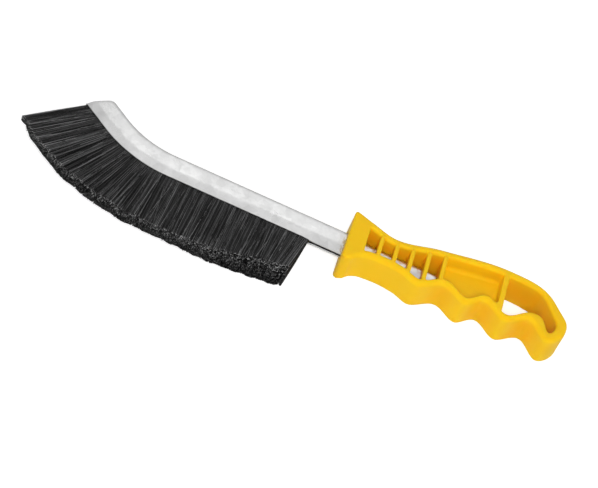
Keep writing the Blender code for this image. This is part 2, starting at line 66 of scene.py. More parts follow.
# Handle, along its axis
COLLAR_LENGTH = 0.0096
RIB_THICKNESS = 0.0021
RIB_COUNT = 5
BAY_WIDTH = 0.0061
PANEL_LENGTH = 0.0293
END_RIB_THICKNESS = 0.0027
RIB_LEAN = math.radians(5.0)
FRONT_LEAN = math.radians(4.0)
COLLAR_END = COLLAR_LENGTH / 2.0
COLLAR_START = -COLLAR_END
PANEL_START = COLLAR_END + RIB_COUNT * (BAY_WIDTH + RIB_THICKNESS)
LOOP_START = PANEL_START + PANEL_LENGTH + END_RIB_THICKNESS

# Handle, walls
BACK_WALL = 0.0040
HEEL_WALL = 0.0032
BUTT_WALL = 0.0056
LOBE_WALL = 0.0050
WALL_STEP = 0.0018
CUTTER_SPARE = 0.0050

# Handle, corners, and the stretches beside the collar's corners that stay free of points
SHARP_TURN = math.radians(40.0)
SOFT_TURN = 0.2
COLLAR_FOOT = 0.0022
COLLAR_HEAD = 0.0013
FOOT_REACH = 2.2 * COLLAR_FOOT
HEAD_REACH = 1.3 * COLLAR_HEAD
BAY_CORNER = 0.0006
PANEL_CORNER = 0.0012
PANEL_FOOT = 0.8 * PANEL_CORNER
LOOP_CORNER = 0.0012
CORNER_ROOM = 1.3
FILLET_GROWTH = 0.4

# Where the radius of the handle's edges changes, and over what length
BUTT_BLEND = 0.0120
SIDE_LEVEL = 0.0060
SIDE_BLEND = 0.0120
LOOP_RIM_GAP = 0.0020
LOOP_RIM_BLEND = 0.0060
RIM_BLEND = 0.0012

# Handle outline, as distances along the handle and heights from its axis
BACK_LINE = ((-0.0052, 0.0153), (0.0040, 0.0128), (0.0180, 0.0092), (0.0400, 0.0147), (0.0760, 0.0206))
BUTT_LINE = ((0.0900, 0.0196), (0.0982, 0.0164), (0.1048, 0.0104), (0.1106, 0.0040), (0.1112, -0.0030),
             (0.1082, -0.0087))
FINGER_LINE = ((-0.0006, -0.0155), (0.0042, -0.0104), (0.0085, -0.0087), (0.0170, -0.0081),
               (0.0260, -0.0090), (0.0350, -0.0118), (0.0481, -0.0051), (0.0597, -0.0102),
               (0.0692, -0.0036), (0.0809, -0.0097), (0.0924, -0.0029), (0.1038, -0.0111))
# Height of the finger wall, as distances along the handle and thicknesses
WALL_LINE = ((0.0, 0.0039), (0.0840, 0.0039), (0.0924, 0.0047), (0.0992, 0.0084), (0.1038, 0.0050))

# Painted shade on the handle, a deeper orange for the shade in its hollows: its share in the grooves, windows
# and end loop, the height of the ridges and of the grooves between them, how deep inside the windows it is
# full, and how far it stays from the outside
GROOVE_SHADE = 0.65
WINDOW_SHADE = 1.0
LOOP_SHADE = 0.6
RIDGE_LEVEL = -0.0105
GROOVE_DEPTH = 0.0068
SHADE_FROM_DEPTH = 0.0010
SHADE_FULL_DEPTH = 0.0050
WEB_LIGHT = 0.6
OUTER_SKIN = 0.0012
FINGER_MARGIN = 0.0030
BACK_MARGIN = 0.0025
COLLAR_MARGIN = 0.0015

# Channel path, in front of the collar
STRAIGHT_LENGTH = 0.0927
BEND_RADIUS = 0.0580
BEND_ANGLE = math.radians(34.0)
TIP_LENGTH = 0.0142
FRONT_RUN = STRAIGHT_LENGTH + BEND_RADIUS * BEND_ANGLE + TIP_LENGTH
TIP_FAN = math.radians(22.0)
FAN_REACH = 2.0 * TIP_LENGTH
NECK_START = 0.0010
NECK_LENGTH = 0.0060
LIP_BLEND = 0.0080
BARE_LENGTH = 0.0167
CLEARANCE = 0.0003

# Channel sheet: the reach of the bend in its flank, the rounding of its lips as a share of its thickness,
# the rings round its tip, how far the tip is worn, and the painted shade on the zinc's round back, tip and
# rear end
FLANK_BEND = 0.0009
LIP_ROUND = 0.35
TIP_RINGS = 5
TIP_WEAR = 0.6
BACK_SHADE_START = 0.4
BACK_SHADE_REACH = 1.2
TIP_SHADE = 0.7
REAR_SHADE = 0.3

# Steps along the swept pieces, and points round their curved parts
CHANNEL_STEP, CHANNEL_SIDES = 0.0012, 12
SOCKET_STEP, SOCKET_SIDES = 0.0010, 10
WIRE_STEP, WIRE_SIDES = 0.0015, 20
FOLD_STEP, FOLD_SIDES = 0.0020, 8
ROOT_STEP = 0.0007

# Filament pack: its thickness across the tips, and the filaments' free length
PACK_AT_HANDLE = 0.0172
PACK_ALONG = 0.0082
PACK_AT_TIP = 0.0036
HANDLE_TAPER = 0.0700
TIP_TAPER = 0.0250
LENGTH_AT_HANDLE = 0.0268
LENGTH_ALONG = 0.0328
LENGTH_AT_TIP = 0.0361
HANDLE_TRIM = 0.0500
TIP_TRIM = 0.0370
TRIM_WAVE = 0.00022
WAVE_LENGTHS = (0.0011, 0.0017)
TIP_CUT, TIP_CUT_REACH = 0.06, 0.0120
REAR_CUT, REAR_CUT_REACH = 0.035, 0.0034
END_LEAN = math.radians(8.0)
LEAN_REACH = 0.0220
STRAND_FAN = math.radians(13.0)
BARE_TIP = 0.0004

# Strands: their points and sides, and how they gather in layers of tufts
STRAND_POINTS = 7
STRAND_SIDES = 4
TUFT_LAYERS = 3
TUFT_SHIFT = 53
TUFT_COUNT = 977
# Share of a strand inside the lips, and of the length jitter and the painted shade's brightness that the
# lowest strands have
ROOT_DEPTH = 0.06
LOWEST_JITTER = 0.2
LOWEST_SHADE, SHADE_RISE = 0.68, 0.45
TUFT_TONE = 0.78
TONE_CONTRAST = 4.2
# Share of a strand's length where its cut end begins
CUT_END = 0.985
# Swing of the tips and bow of the strands, as shares of the sway, and the room that they keep to at the ends
SWING, STRAY_SWING = 0.45, 6.0
WANDER, CURL = 0.5, 1.2
TUFT_ROOM, STRAY_ROOM = 0.85, 0.35
# From one group's seed to the next, and the random draws in the order of their seeds
SEED_STEP = 100
DRAWS = ("place", "layer", "length", "wander", "stray", "swing", "curl", "tone", "tuft swing", "stray swing",
         "tuft length", "tuft tone")

FLOOR_LEVEL = -0.0001
WHITE = (1.0, 1.0, 1.0, 1.0)
LAMP_TARGET = Vector((-0.03, 0.0, 0.0))
# Each lamp's name, place, size, the setting of its power, and whether the steel mirrors it
LAMPS = (("Back lamp", (-0.03, 1.00, 1.15), 1.1, "back_power", True),
         ("Front lamp", (0.05, -0.88, 1.10), 0.55, "front_power", False),
         ("Overhead lamp", (-0.03, 0.10, 1.40), 1.2, "top_power", False),
         ("Left lamp", (-1.25, -0.45, 0.45), 0.6, "side_power", False),
         ("Right lamp", (1.19, -0.45, 0.45), 0.6, "side_power", False))

# A cross-section of the channel: the round back, the bend in the flank and the
# lip, all outside sizes, measured across (half widths) and along the section
Section = namedtuple("Section", "back_half back_centre bend_height lip_half lip_height")
FILLED = Section(0.0040, 0.0020, -0.0044, 0.0023, -0.0080)
BARE = Section(0.0040, 0.0020, -0.0044, 0.0017, -0.0079)
TANG = Section(0.0035, 0.0011, -0.0012, 0.0017, -0.0062)
TANG_END = PANEL_START - RIB_THICKNESS - math.tan(RIB_LEAN) * TANG.back_half - CLEARANCE
Station = namedtuple("Station", "centre tilt stretch section")


# Settings

def a_length(name, description, default, precision=4):
    return bpy.props.FloatProperty(name=name, description=description, default=default, precision=precision,
                                   unit="LENGTH")


def a_share(name, description, default):
    return bpy.props.FloatProperty(name=name, description=description, default=default, min=0.0, max=1.0,
                                   subtype="FACTOR")


def a_colour(name, description, default):
    return bpy.props.FloatVectorProperty(name=name, description=description, default=(*default, 1.0), size=4,
                                         min=0.0, max=1.0, subtype="COLOR")


def a_power(name, description, default):
    return bpy.props.FloatProperty(name=name, description=description, default=default, min=0.0, unit="POWER")


def an_angle(name, description, degrees):
    return bpy.props.FloatProperty(name=name, description=description, default=math.radians(degrees),
                                   subtype="ANGLE", unit="ROTATION")


def a_count(name, description, default):
    return bpy.props.IntProperty(name=name, description=description, default=default, min=1)


class HandleSettings(bpy.types.PropertyGroup):
    """Sizes and finish of the moulded handle."""

    thickness: a_length("Thickness", "Between the handle's two side faces", HANDLE_TOP)
    collar_edge: a_length("Collar edge", "Radius of the edges at the collar's front", 0.0011)
    back_edge: a_length("Back edge", "Radius of the edges along the back", 0.0018)
    butt_edge: a_length("Butt edge", "Radius of the edges round the butt", 0.0013)
    finger_edge: a_length("Finger edge", "Radius of the edges along the grooves", 0.0025)
    inner_edge: a_length("Inner edge", "Radius of the edges round the windows", 0.0005)
    finger_rim: a_length("Finger rim", "Radius of the inner edge of the finger wall", 0.0013)
    back_rim: a_length("Back rim", "Radius of the inner edge of the back wall", 0.0018)
    web_thickness: a_length("Web thickness", "Thickness of the web in the panel", 0.0026)
    web_fillet: a_length("Web fillet", "Radius between the web and its walls", 0.0022)
    step: a_length("Outline step", "Distance between points of the outline", 0.0006)
    colour: a_colour("Colour", "Colour of the plastic", (0.95, 0.575, 0.010))
    # Painted shade: the deeper orange put on the plastic in its hollows and grooves
    hollow_shade_colour: a_colour("Inner colour", "Colour of the plastic deep in its hollows", (0.99, 0.49, 0.007))
    panel_shade: a_share("Panel shade", "How much darker the plastic looks in the panel", 0.13)
    roughness: a_share("Roughness", "Roughness of the plastic", 0.45)


class ChannelSettings(bpy.types.PropertyGroup):
    """Sizes and finish of the channel and the core wire."""

    sheet: a_length("Sheet", "Thickness of the steel sheet", 0.0010)
    tip_round: a_length("Tip round", "Length of the rounded edge at the tip", 0.0012)
    wire_radius: a_length("Wire radius", "Radius of the core wire", 0.0007)
    spangle: a_length("Spangle", "Size of the patches in the zinc coat", 0.0060)
    ripple: a_length("Ripple", "Depth of the dents that the folding left", 0.0005)
    colour: a_colour("Colour", "Colour of the zinc coat", (0.66, 0.66, 0.658))
    # Painted shade: brightness of the zinc on its round back, tip and rear end
    zinc_shade_level: a_share("Fold shade", "Brightness of the zinc where the sheet was folded", 0.74)
    roughness: a_share("Roughness", "Roughness of the zinc coat", 0.32)


class FilamentSettings(bpy.types.PropertyGroup):
    """Sizes and finish of the filaments."""

    strands: a_count("Strands", "Strands in each group", 2400)
    radius: a_length("Radius", "Radius of one filament", 0.0002, precision=5)
    jitter: a_share("Length jitter", "How much shorter some filaments are", 0.035)
    sway: a_length("Sway", "How far the tips stray along the brush", 0.0010)
    tuft: a_count("Tuft", "Strands that gather in one row of tufts", 200)
    gather: a_share("Gather", "How far the tips of a tuft draw together", 0.27)
    stray_share: a_share("Stray share", "Share of the filaments that cross others", 0.03)
    seed: a_count("Seed", "Seed of the random draws", 7)
    # The palest filaments' colour works as a painted highlight for glints along the strands
    colour: a_colour("Colour", "Colour of the palest filaments", (0.25, 0.25, 0.252))
    tip_colour: a_colour("Tip colour", "Colour of the cut ends", (0.62, 0.62, 0.62))


class StageSettings(bpy.types.PropertyGroup):
    """Floor, light and camera."""

    floor_size: a_length("Floor size", "Length of the floor's sides", 12.0)
    floor_colour: a_colour("Floor colour", "Colour of the floor", (0.72, 0.72, 0.72))
    floor_glow: a_share("Floor glow", "Extra brightness of the floor in the picture", 0.62)
    world_strength: a_share("World strength", "Strength of the even light", 0.29)
    front_power: a_power("Front power", "Power of the lamp above the camera", 11.5)
    top_power: a_power("Top power", "Power of the lamp overhead", 0.6)
    side_power: a_power("Side power", "Power of each lamp at the brush's ends", 2.8)
    back_power: a_power("Back power", "Power of the lamp behind the brush", 1.15)
    elevation: an_angle("Elevation", "Height of the camera's line of sight", 51.0)
    roll: an_angle("Roll", "Turn of the camera about its line of sight", 24.2)
    distance: a_length("Distance", "From the camera to the point it looks at", 1.2255)
    target: bpy.props.FloatVectorProperty(
        name="Target", description="Point in the middle of the picture", default=(-0.0249, -0.0070, 0.0041),
        size=3, subtype="XYZ", unit="LENGTH", precision=4)
    lens: bpy.props.FloatProperty(
        name="Lens", description="Focal length in millimetres", default=150.5, unit="CAMERA")


# Small helpers

def smooth(share):
    share = min(max(share, 0.0), 1.0)
    return share * share * (3.0 - 2.0 * share)


def blend(first, second, share):
    return first + (second - first) * share


def quarter_turns(count):
    return [math.pi / 2.0 * i / count for i in range(count + 1)]


def mesh_from(name, points, faces):
    """A mesh with its faces pointing out and its round parts shaded smooth."""
    mesh = bpy.data.meshes.new(name)
    mesh.from_pydata([tuple(point) for point in points], [], faces)
    shape = bmesh.new()
    shape.from_mesh(mesh)
    bmesh.ops.recalc_face_normals(shape, faces=shape.faces)
    shape.to_mesh(mesh)
    shape.free()
    mesh.shade_smooth()
    mesh.set_sharp_from_angle(angle=SHARP_TURN)
    return mesh


def link(name, mesh):
    item = bpy.data.objects.new(name, mesh)
    bpy.context.scene.collection.objects.link(item)
    return item


def baked(item, name):
    """A plain mesh of the object as it is evaluated."""
    graph = bpy.context.evaluated_depsgraph_get()
    graph.update()
    mesh = bpy.data.meshes.new_from_object(item.evaluated_get(graph), depsgraph=graph)
    mesh.name = name
    return mesh


def dress(item, material, slot, *nodes):
    """Give a finished piece its finish and its place in the frame."""
    item.data.materials.clear()
    item.data.materials.append(material)
    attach(item, "root")
    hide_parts(*nodes)


# Curves and outlines of the handle

def monotone_slopes(points):
    """Slopes at the points of a height curve, level at every crest and dip."""
    steps = [(b[1] - a[1]) / (b[0] - a[0]) for a, b in zip(points, points[1:])]
    slopes = [steps[0]]
    for before, after in zip(steps, steps[1:]):
        slopes.append(0.0 if before * after <= 0.0 else 2.0 * before * after / (before + after))
    return slopes + [0.0]


def hermite(start, end, start_way, end_way, t):
    """The smooth curve from one place to the next, at a share t of the way."""
    return (start * (1 + 2 * t) * (1 - t) ** 2 + start_way * t * (1 - t) ** 2
            + end * t * t * (3 - 2 * t) + end_way * t * t * (t - 1))


def height_at(points, along):
    """Height of a curve of distances and heights, held level past its ends."""
    slopes = monotone_slopes(points)
    along = min(max(along, points[0][0]), points[-1][0])
    index = max(i for i in range(len(points) - 1) if along >= points[i][0])
    (x0, y0), (x1, y1) = points[index], points[index + 1]
    span = x1 - x0
    return hermite(y0, y1, span * slopes[index], span * slopes[index + 1], (along - x0) / span)


def height_curve(points, step):
    first, last = points[0][0], points[-1][0]
    count = max(2, round((last - first) / step))
    spots = [blend(first, last, i / count) for i in range(count + 1)]
    return [Vector((x, height_at(points, x))) for x in spots]


def curve_through(points, ways, step):
    """A smooth curve through points with a direction at each, up to the last point."""
    curve = []
    for a, b, way_a, way_b in zip(points, points[1:], ways, ways[1:]):
        count = max(1, round((b - a).length / step))
        curve += [hermite(a, b, way_a, way_b, i / count) for i in range(count)]
    return curve


def corner_arc(before, corner, after, radius, step):
    """Points of the arc that rounds a corner."""
    way_in = (before - corner).normalized()
    way_out = (after - corner).normalized()
    half = way_in.angle(way_out) / 2.0
    centre = corner + (way_in + way_out).normalized() * (radius / math.sin(half))
    first = (corner + way_in * (radius / math.tan(half)) - centre).normalized()
    last = (corner + way_out * (radius / math.tan(half)) - centre).normalized()
    count = max(5, round(radius * (math.pi - 2.0 * half) / step))
    return [centre + first.slerp(last, i / count) * radius for i in range(count + 1)]


def neighbours(points):
    return zip(points[-1:] + points[:-1], points, points[1:] + points[:1])


def soften(points, step):
    """A smooth closed curve through the points."""
    ways = [(after - before) * 0.5 for before, _, after in neighbours(points)]
    return curve_through(points + points[:1], ways + ways[:1], step)


def round_corners(points, radius, step):
    """Round a closed outline's corners, and drop the points that crowd them."""
    corners = {}
    for before, point, after in neighbours(points):
        turn = (point - before).angle(after - point, 0.0)
        if turn > SHARP_TURN:
            corners[tuple(point)] = CORNER_ROOM * radius * math.tan(turn / 2.0)
    kept = []
    for point in points:
        crowded = any((point - Vector(corner)).length < reach for corner, reach in corners.items())
        if tuple(point) in corners or not crowded:
            kept.append(point)
    rounded = []
    for before, point, after in neighbours(kept):
        rounded += corner_arc(before, point, after, radius, step) if tuple(point) in corners else [point]
    return rounded


def refine(points, step):
    """Add points along the straight stretches of a closed outline."""
    fine = []
    for a, b in zip(points, points[1:] + points[:1]):
        count = max(1, round((b - a).length / step))
        fine += [a.lerp(b, i / count) for i in range(count)]
    return fine


def front_at(height):
    """The collar's leaning front face."""
    return COLLAR_START - height * math.tan(FRONT_LEAN)


def rib_start(index):
    return COLLAR_END + (index + 1) * BAY_WIDTH + index * RIB_THICKNESS


def butt_curve(step):
    """The handle's outline from the last finger ridge round the butt to the back."""
    points = [Vector(point) for point in (FINGER_LINE[-1],) + BUTT_LINE[::-1] + (BACK_LINE[-1],)]
    ways = [(b - a) * 0.5 for a, b in zip(points, points[2:])]
    ways.insert(0, Vector((1.0, 0.0)) * (points[1] - points[0]).length)
    ways.append(Vector((-1.0, 0.0)) * (points[-1] - points[-2]).length)
    return curve_through(points, ways, step) + points[-1:]


def handle_outline(sizes):
    """The handle's side view, anticlockwise, with the edge radius at each point."""
    lower = height_curve(FINGER_LINE, sizes.step)
    upper = height_curve(BACK_LINE, sizes.step)[::-1]
    butt = butt_curve(sizes.step)[1:]
    foot = Vector((front_at(lower[0].y), lower[0].y))
    head = Vector((front_at(upper[-1].y), upper[-1].y))
    lower = [point for point in lower if point.x > foot.x + FOOT_REACH]
    upper = [point for point in upper if point.x > head.x + HEAD_REACH]
    foot_arc = corner_arc(head, foot, lower[0], COLLAR_FOOT, sizes.step)
    head_arc = corner_arc(upper[-1], head, foot, COLLAR_HEAD, sizes.step)
    points = refine(foot_arc + lower + butt + upper[1:] + head_arc, sizes.step)
    return points, [edge_at(sizes, point) for point in points]


def edge_at(sizes, point):
    """Radius of the outer edge: crisp at the collar, soft along the back and softer at the grooves."""
    back = blend(sizes.back_edge, sizes.butt_edge, smooth((point.x - BACK_LINE[-1][0]) / BUTT_BLEND))
    side = blend(back, sizes.finger_edge, smooth((SIDE_LEVEL - point.y) / SIDE_BLEND))
    return blend(sizes.collar_edge, side, smooth((point.x - COLLAR_START) / COLLAR_LENGTH))


def butt_wall_at(share):
    """Wall thickness along the butt curve, from the lobe round to the back."""
    walls = (LOBE_WALL, BUTT_WALL, HEEL_WALL, BACK_WALL)
    place = share * (len(walls) - 1)
    index = min(int(place), len(walls) - 2)
    return blend(walls[index], walls[index + 1], place - index)


def inner_outline(step):
    """The hollow inside the handle's walls, before ribs and web divide it."""
    inner = [point + Vector((0.0, height_at(WALL_LINE, point.x)))
             for point in height_curve(FINGER_LINE, WALL_STEP)[1:-1]]
    curve = butt_curve(WALL_STEP)
    for i in range(1, len(curve) - 1):
        way = (curve[i + 1] - curve[i - 1]).normalized()
        inner.append(curve[i] + Vector((-way.y, way.x)) * butt_wall_at(i / (len(curve) - 1)))
    roof = [point - Vector((0.0, BACK_WALL)) for point in height_curve(BACK_LINE, WALL_STEP)]
    return soften(inner + roof[::-1], step)


def clip(points, limit, keep_above):
    """Cut a closed outline along a rib's leaning face."""
    lean = math.tan(RIB_LEAN)
    kept = []
    for a, b in zip(points, points[1:] + points[:1]):
        side_a = (a.x + a.y * lean - limit) * (1 if keep_above else -1)
        side_b = (b.x + b.y * lean - limit) * (1 if keep_above else -1)
        if side_a >= 0.0:
            kept.append(a)
        if side_a * side_b < 0.0:
            kept.append(a + (b - a) * (side_a / (side_a - side_b)))
    return kept


def bay_outline(sizes, first, last, radius):
    """The part of the hollow between two ribs, with the rim radius at each point."""
    kept = clip(inner_outline(sizes.step), first, True)
    if last is not None:
        kept = clip(kept, last, False)
    points = refine(round_corners(kept, radius, sizes.step), sizes.step)
    return points, [rim_at(sizes, point) for point in points]


def rim_at(sizes, point):
    """Radius of a window's edge: soft along the back and the finger wall, crisp along the ribs."""
    roof = height_at(BACK_LINE, point.x) - BACK_WALL
    floor = height_at(FINGER_LINE, point.x) + height_at(WALL_LINE, point.x)
    if point.x > BUTT_LINE[0][0]:
        share = smooth((point.y - floor - LOOP_RIM_GAP) / LOOP_RIM_BLEND)
        return blend(sizes.finger_rim, sizes.back_rim, share)
    rim = blend(sizes.back_rim, sizes.inner_edge, smooth((roof - point.y) / RIM_BLEND))
    return blend(sizes.finger_rim, rim, smooth((point.y - floor) / RIM_BLEND))


def hollow_shade_shares(point, butt):
    """How far a point of the handle gets the painted shade of its hollows and grooves, and lies in the panel,
    where shade is painted too.
    """
    roof = height_at(BACK_LINE, point.x)
    floor = height_at(FINGER_LINE, point.x)
    # Painted shade on the outer finger wall, deepest in the grooves between the ridges
    if point.y < floor + OUTER_SKIN:
        return GROOVE_SHADE * smooth((point.y - RIDGE_LEVEL) / GROOVE_DEPTH), 0.0
    outside = (point.y < floor + FINGER_MARGIN or point.y > roof - BACK_MARGIN
               or point.x < COLLAR_END - COLLAR_MARGIN
               or min((point.xy - spot).length for spot in butt) < BACK_MARGIN)
    if outside:
        return 0.0, 0.0
    if point.x < PANEL_START - RIB_THICKNESS / 2.0:
        return WINDOW_SHADE, 0.0
    return (LOOP_SHADE, 0.0) if point.x > LOOP_START - END_RIB_THICKNESS / 2.0 else (0.0, 1.0)


# Solids of the handle

def offset(points, distances):
    """Move each point of a closed anticlockwise outline outwards."""
    moved = []
    for (before, point, after), distance in zip(neighbours(points), distances):
        way_in = (point - before).normalized()
        way_out = (after - point).normalized()
        aside = Vector((way_in.y + way_out.y, -way_in.x - way_out.x)).normalized()
        moved.append(point + aside * (distance / math.cos(way_in.angle(way_out) / 2.0)))
    return moved


def laid_rings(outline, rings):
    """The outline at each ring's height, moved out and up by the ring's shares of each edge radius."""
    points, edges = outline
    laid = []
    for height, out, up in rings:
        moved = offset(points, [out * edge for edge in edges])
        laid.append([(point.x, point.y, height + up * edge) for point, edge in zip(moved, edges)])
    return laid


def edge_rings(height, out, up, count=6):
    """Rings round an edge, from the face to the wall."""
    return [(height, out * (1.0 - math.sin(turn)), up * (1.0 - math.cos(turn)))
            for turn in quarter_turns(count)]


def body_rings(thickness):
    return edge_rings(0.0, -1.0, 1.0) + edge_rings(thickness, -1.0, -1.0)[::-1]


def through_rings(thickness):
    """Rings of a cutter that opens both faces and rounds their edges."""
    lower = [(-CUTTER_SPARE, 1.0, 0.0)] + edge_rings(0.0, 1.0, 1.0)
    return lower + edge_rings(thickness, 1.0, -1.0)[::-1] + [(thickness + CUTTER_SPARE, 1.0, 0.0)]


def eased(points, least, most):
    """A size for each point of an outline: least at its corners, and growing away from them."""
    corners = [point for before, point, after in neighbours(points)
               if (point - before).angle(after - point) > SOFT_TURN]
    return [min(most, least + FILLET_GROWTH * min((point - corner).length for corner in corners))
            for point in points]


def slab(name, outline, rings):
    return loft(name, laid_rings(outline, rings))


def pocket(sizes, outline, face, way):
    """A cutter for one side of the panel, with a fillet at its foot."""
    points = outline[0]
    floor = (sizes.thickness + way * sizes.web_thickness) / 2.0
    fillets = eased(points, PANEL_FOOT, sizes.web_fillet)
    foot = laid_rings((points, fillets), edge_rings(floor, -1.0, way, count=7))
    rim = edge_rings(face, 1.0, -way)[::-1] + [(face + way * CUTTER_SPARE, 1.0, 0.0)]
    return loft("panel_cutter", foot + laid_rings(outline, rim))


def loft(name, rings):
    """A closed body through rings of as many points each, with flat ends."""
    count = len(rings[0])
    points = [point for ring in rings for point in ring]
    last = len(points) - count
    faces = [tuple(range(count - 1, -1, -1)), tuple(range(last, last + count))]
    for start in range(0, last, count):
        for i in range(count):
            j = (i + 1) % count
            faces.append((start + i, start + j, start + count + j, start + count + i))
    return mesh_from(name, points, faces)


def carve(body, cutters):
    """Cut the cutters out of the body and bake the result."""
    tools = []
    for mesh in cutters:
        cutter = link(mesh.name, mesh)
        cut = body.modifiers.new(mesh.name, "BOOLEAN")
        cut.operation = "DIFFERENCE"
        cut.solver = "EXACT"
        cut.object = cutter
        tools.append(cutter)
    mesh = baked(body, body.name)
    body.modifiers.clear()
    body.data = mesh
    for cutter in tools:
        bpy.data.objects.remove(cutter, do_unlink=True)
    return body


def even_normals(item):
    """Keep the flat faces flat and the rims soft in the shading."""
    item.data.shade_smooth()
    item.data.set_sharp_from_angle(angle=SHARP_TURN)
    weighting = item.modifiers.new("Weighted normals", "WEIGHTED_NORMAL")
    weighting.keep_sharp = True
    weighting.weight = 80
    mesh = baked(item, item.name)
    item.modifiers.clear()
    item.data = mesh


# Channel path and sections

def path_point(run):
    """Place and direction of the channel at a run forwards of the collar's front."""
    bent = run - STRAIGHT_LENGTH
    if bent <= 0.0:
        return Vector((COLLAR_START - run, 0.0)), 0.0
    turned = min(bent / BEND_RADIUS, BEND_ANGLE)
    place = Vector((COLLAR_START - STRAIGHT_LENGTH - BEND_RADIUS * math.sin(turned),
                    BEND_RADIUS * (1.0 - math.cos(turned))))
    rest = max(bent - BEND_RADIUS * BEND_ANGLE, 0.0)
    return place + Vector((-math.cos(turned), math.sin(turned))) * rest, turned


def near_tip(run, reach):
    """1 at the channel's tip, falling to 0 over the reach."""
    return smooth((run - FRONT_RUN + reach) / reach)


def off_rear(run, reach):
    """0 at the rear end of the pack, rising to 1 over the reach."""
    return smooth((run - BARE_LENGTH) / reach)


def section_at(run):
    """The channel's cross-section: filled, bare, then necked down to the tang."""
    if run > 0.0:
        first, second, share = BARE, FILLED, (run - BARE_LENGTH + LIP_BLEND / 2.0) / LIP_BLEND
    else:
        first, second, share = BARE, TANG, (-run - NECK_START) / NECK_LENGTH
    return Section(*(blend(a, b, smooth(share)) for a, b in zip(first, second)))


def station(run):
    centre, turned = path_point(run)
    fan = TIP_FAN * near_tip(run, FAN_REACH)
    return Station(centre, turned + fan, 1.0 / math.cos(fan), section_at(run))


def place_on(spot, height, across):
    """A point of a cross-section in space."""
    reach = height * spot.stretch
    return Vector((spot.centre.x + math.sin(spot.tilt) * reach, spot.centre.y + math.cos(spot.tilt) * reach,
                   HANDLE_TOP / 2.0 + across))


def runs_between(first, last, step):
    count = max(1, math.ceil((last - first) / step))
    return [blend(first, last, i / count) for i in range(count + 1)]


def quarter_round(radius, centre, count):
    return [(radius * math.sin(turn), centre + radius * math.cos(turn)) for turn in quarter_turns(count)]


def flank(section, inset, count):
    """Half widths and heights down one flank, from the back to the lip."""
    half = section.back_half - inset
    back = quarter_round(half, section.back_centre, count)
    bend = Vector((half, section.bend_height))
    lip = Vector((section.lip_half - inset, section.lip_height))
    before = bend + (Vector(back[-1]) - bend).normalized() * FLANK_BEND
    after = bend + (lip - bend).normalized() * FLANK_BEND
    bow = [tuple(before.lerp(bend, t).lerp(bend.lerp(after, t), t)) for t in (0.0, 0.25, 0.5, 0.75, 1.0)]
    return back + bow + [tuple(after.lerp(lip, share)) for share in (0.33, 0.66, 1.0)]


def both_flanks(points):
    return [(-across, height) for across, height in points[::-1]] + points[1:]


def shade_on_zinc(section, height, run):
    """1 on the round back, where shade is painted on the zinc, and less at the channel's ends."""
    back = smooth((height - section.back_centre + BACK_SHADE_START * section.back_half)
                  / (BACK_SHADE_REACH * section.back_half))
    return max(back, TIP_SHADE * near_tip(run, FAN_REACH), REAR_SHADE * (1.0 - smooth(run / BARE_LENGTH)))


def lip_round(outside, inside, soft):
    """Points round a lip of the sheet, from the outside to the inside."""
    aside = (inside - outside).normalized() * soft
    up = Vector((0.0, soft))
    shifts = [(1.0 - math.sin(turn), up * (1.0 - math.cos(turn))) for turn in quarter_turns(3)]
    points = [outside + aside * out + rise for out, rise in shifts[::-1]]
    points += [inside - aside * out + rise for out, rise in shifts]
    return [tuple(point) for point in points]


def sheet_outline(section, sheet, worn=0.0):
    """The folded sheet's closed outline, with round lips, worn down from outside at its end."""
    outer = both_flanks(flank(section, worn, CHANNEL_SIDES))
    inner = both_flanks(flank(section, sheet, CHANNEL_SIDES))
    left, right = (lip_round(Vector(outer[i]), Vector(inner[i]), LIP_ROUND * sheet) for i in (0, -1))
    return outer[1:-1] + right + inner[1:-1][::-1] + left[::-1]


def sweep(name, first, last, step, outline_of):
    """A closed body through the outlines of cross-sections along the channel's path."""
    return loft(name, [[place_on(spot, height, across) for across, height in outline_of(spot.section)]
                       for spot in map(station, runs_between(first, last, step))])


# Node trees

class Value:
    """A value in a node tree, to reckon with by + - * and /."""

    def __init__(self, nodes, socket):
        self.nodes = nodes
        self.socket = socket

    def __add__(self, other):
        return self.nodes.math("ADD", self, other)

    def __sub__(self, other):
        return self.nodes.math("SUBTRACT", self, other)

    def __rsub__(self, other):
        return self.nodes.math("SUBTRACT", other, self)

    def __mul__(self, other):
        return self.nodes.math("MULTIPLY", self, other)

    def __truediv__(self, other):
        return self.nodes.math("DIVIDE", self, other)


